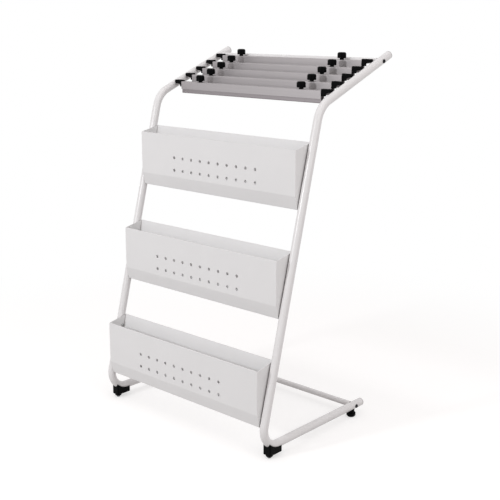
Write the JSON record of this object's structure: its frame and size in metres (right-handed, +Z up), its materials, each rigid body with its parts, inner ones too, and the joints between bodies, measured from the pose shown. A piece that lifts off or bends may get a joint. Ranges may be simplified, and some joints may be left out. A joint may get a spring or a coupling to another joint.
{
  "type": "periodical display rack",
  "caption": "Free-standing bent-tube rack with folded steel magazine pockets and lift-off newspaper clamps on its rising arms.",
  "frame": {"origin": "on the floor, in the middle of the rack's bounding box", "axes": "+X to the rack's right as seen from the front, +Y to the back, +Z up; the pockets face -Y"},
  "size_m": [0.7172, 0.601, 1.1631],
  "materials": {
    "frame_enamel": "white powder coat, gloss",
    "pocket_enamel": "off-white powder coat, satin",
    "cap_plastic": "light grey moulded",
    "foot_plastic": "black moulded",
    "zinc_steel": "zinc plated",
    "black_screw": "blackened steel",
    "anodised_channel": "satin anodised extrusion",
    "anodised_jaw": "satin anodised extrusion",
    "hook_plastic": "black moulded",
    "knob_plastic": "black moulded"
  },
  "bodies": {
    "rack_frame": {"side_frame_left": "frame_enamel", "arm_end_cap_left": "cap_plastic", "base_end_cap_left": "cap_plastic", "front_foot_left": "foot_plastic", "rear_foot_left": "foot_plastic", "side_frame_right": "frame_enamel", "arm_end_cap_right": "cap_plastic", "base_end_cap_right": "cap_plastic", "front_foot_right": "foot_plastic", "rear_foot_right": "foot_plastic", "base_cross_bar": "frame_enamel", "top_cross_bar": "frame_enamel", "cross_bar_plugs": "zinc_steel", "cross_bar_screws": "black_screw", "foot_screws": "zinc_steel", "front_foot_glides": "foot_plastic", "magazine_pocket_bottom": "pocket_enamel", "magazine_pocket_middle": "pocket_enamel", "magazine_pocket_top": "pocket_enamel", "pocket_screws": "zinc_steel", "arm_pins": "black_screw", "pocket_end_left_bottom": "pocket_enamel", "pocket_end_right_bottom": "pocket_enamel", "pocket_end_left_middle": "pocket_enamel", "pocket_end_right_middle": "pocket_enamel", "pocket_end_left_top": "pocket_enamel", "pocket_end_right_top": "pocket_enamel"},
    "clamp_1": {"clamp_channel_1": "anodised_channel", "clamp_hook_left_1": "hook_plastic", "clamp_hook_right_1": "hook_plastic"},
    "jaw_1": {"clamp_jaw_1": "anodised_jaw"},
    "knob_left_1": {"clamp_knob_left_1": "knob_plastic"},
    "knob_right_1": {"clamp_knob_right_1": "knob_plastic"},
    "clamp_2": {"clamp_channel_2": "anodised_channel", "clamp_hook_left_2": "hook_plastic", "clamp_hook_right_2": "hook_plastic"},
    "jaw_2": {"clamp_jaw_2": "anodised_jaw"},
    "knob_left_2": {"clamp_knob_left_2": "knob_plastic"},
    "knob_right_2": {"clamp_knob_right_2": "knob_plastic"},
    "clamp_3": {"clamp_channel_3": "anodised_channel", "clamp_hook_left_3": "hook_plastic", "clamp_hook_right_3": "hook_plastic"},
    "jaw_3": {"clamp_jaw_3": "anodised_jaw"},
    "knob_left_3": {"clamp_knob_left_3": "knob_plastic"},
    "knob_right_3": {"clamp_knob_right_3": "knob_plastic"},
    "clamp_4": {"clamp_channel_4": "anodised_channel", "clamp_hook_left_4": "hook_plastic", "clamp_hook_right_4": "hook_plastic"},
    "jaw_4": {"clamp_jaw_4": "anodised_jaw"},
    "knob_left_4": {"clamp_knob_left_4": "knob_plastic"},
    "knob_right_4": {"clamp_knob_right_4": "knob_plastic"},
    "clamp_5": {"clamp_channel_5": "anodised_channel", "clamp_hook_left_5": "hook_plastic", "clamp_hook_right_5": "hook_plastic"},
    "jaw_5": {"clamp_jaw_5": "anodised_jaw"},
    "knob_left_5": {"clamp_knob_left_5": "knob_plastic"},
    "knob_right_5": {"clamp_knob_right_5": "knob_plastic"}
  },
  "joints": [
    {"name": "clamp_1_lift", "type": "slide", "parent": "rack_frame", "child": "clamp_1", "axis": [0, 0, 1], "range_m": [0, 0.1]},
    {"name": "knob_left_1_turn", "type": "hinge", "parent": "clamp_1", "child": "knob_left_1", "pos_m": [-0.215, 0.02395, 1.05597], "axis": [0, 0, 1], "range_deg": [0, 2160]},
    {"name": "knob_right_1_turn", "type": "hinge", "parent": "clamp_1", "child": "knob_right_1", "pos_m": [0.215, 0.02395, 1.05597], "axis": [0, 0, 1], "range_deg": [0, 2160]},
    {"name": "jaw_1_drop", "type": "slide", "parent": "clamp_1", "child": "jaw_1", "axis": [0, 0, -1], "range_m": [0, 0.0075]},
    {"name": "clamp_2_lift", "type": "slide", "parent": "rack_frame", "child": "clamp_2", "axis": [0, 0, 1], "range_m": [0, 0.1]},
    {"name": "knob_left_2_turn", "type": "hinge", "parent": "clamp_2", "child": "knob_left_2", "pos_m": [-0.215, 0.07394, 1.0761], "axis": [0, 0, 1], "range_deg": [0, 2160]},
    {"name": "knob_right_2_turn", "type": "hinge", "parent": "clamp_2", "child": "knob_right_2", "pos_m": [0.215, 0.07394, 1.0761], "axis": [0, 0, 1], "range_deg": [0, 2160]},
    {"name": "jaw_2_drop", "type": "slide", "parent": "clamp_2", "child": "jaw_2", "axis": [0, 0, -1], "range_m": [0, 0.0075]},
    {"name": "clamp_3_lift", "type": "slide", "parent": "rack_frame", "child": "clamp_3", "axis": [0, 0, 1], "range_m": [0, 0.1]},
    {"name": "knob_left_3_turn", "type": "hinge", "parent": "clamp_3", "child": "knob_left_3", "pos_m": [-0.215, 0.12394, 1.09623], "axis": [0, 0, 1], "range_deg": [0, 2160]},
    {"name": "knob_right_3_turn", "type": "hinge", "parent": "clamp_3", "child": "knob_right_3", "pos_m": [0.215, 0.12394, 1.09623], "axis": [0, 0, 1], "range_deg": [0, 2160]},
    {"name": "jaw_3_drop", "type": "slide", "parent": "clamp_3", "child": "jaw_3", "axis": [0, 0, -1], "range_m": [0, 0.0075]},
    {"name": "clamp_4_lift", "type": "slide", "parent": "rack_frame", "child": "clamp_4", "axis": [0, 0, 1], "range_m": [0, 0.1]},
    {"name": "knob_left_4_turn", "type": "hinge", "parent": "clamp_4", "child": "knob_left_4", "pos_m": [-0.215, 0.17394, 1.11636], "axis": [0, 0, 1], "range_deg": [0, 2160]},
    {"name": "knob_right_4_turn", "type": "hinge", "parent": "clamp_4", "child": "knob_right_4", "pos_m": [0.215, 0.17394, 1.11636], "axis": [0, 0, 1], "range_deg": [0, 2160]},
    {"name": "jaw_4_drop", "type": "slide", "parent": "clamp_4", "child": "jaw_4", "axis": [0, 0, -1], "range_m": [0, 0.0075]},
    {"name": "clamp_5_lift", "type": "slide", "parent": "rack_frame", "child": "clamp_5", "axis": [0, 0, 1], "range_m": [0, 0.1]},
    {"name": "knob_left_5_turn", "type": "hinge", "parent": "clamp_5", "child": "knob_left_5", "pos_m": [-0.215, 0.22394, 1.13649], "axis": [0, 0, 1], "range_deg": [0, 2160]},
    {"name": "knob_right_5_turn", "type": "hinge", "parent": "clamp_5", "child": "knob_right_5", "pos_m": [0.215, 0.22394, 1.13649], "axis": [0, 0, 1], "range_deg": [0, 2160]},
    {"name": "jaw_5_drop", "type": "slide", "parent": "clamp_5", "child": "jaw_5", "axis": [0, 0, -1], "range_m": [0, 0.0075]}
  ],
  "couplings": [
    {"joint": "knob_left_1_turn", "follows": "jaw_1_drop", "rad_per_m": 5026.5},
    {"joint": "knob_right_1_turn", "follows": "jaw_1_drop", "rad_per_m": 5026.5},
    {"joint": "knob_left_2_turn", "follows": "jaw_2_drop", "rad_per_m": 5026.5},
    {"joint": "knob_right_2_turn", "follows": "jaw_2_drop", "rad_per_m": 5026.5},
    {"joint": "knob_left_3_turn", "follows": "jaw_3_drop", "rad_per_m": 5026.5},
    {"joint": "knob_right_3_turn", "follows": "jaw_3_drop", "rad_per_m": 5026.5},
    {"joint": "knob_left_4_turn", "follows": "jaw_4_drop", "rad_per_m": 5026.5},
    {"joint": "knob_right_4_turn", "follows": "jaw_4_drop", "rad_per_m": 5026.5},
    {"joint": "knob_left_5_turn", "follows": "jaw_5_drop", "rad_per_m": 5026.5},
    {"joint": "knob_right_5_turn", "follows": "jaw_5_drop", "rad_per_m": 5026.5}
  ]
}
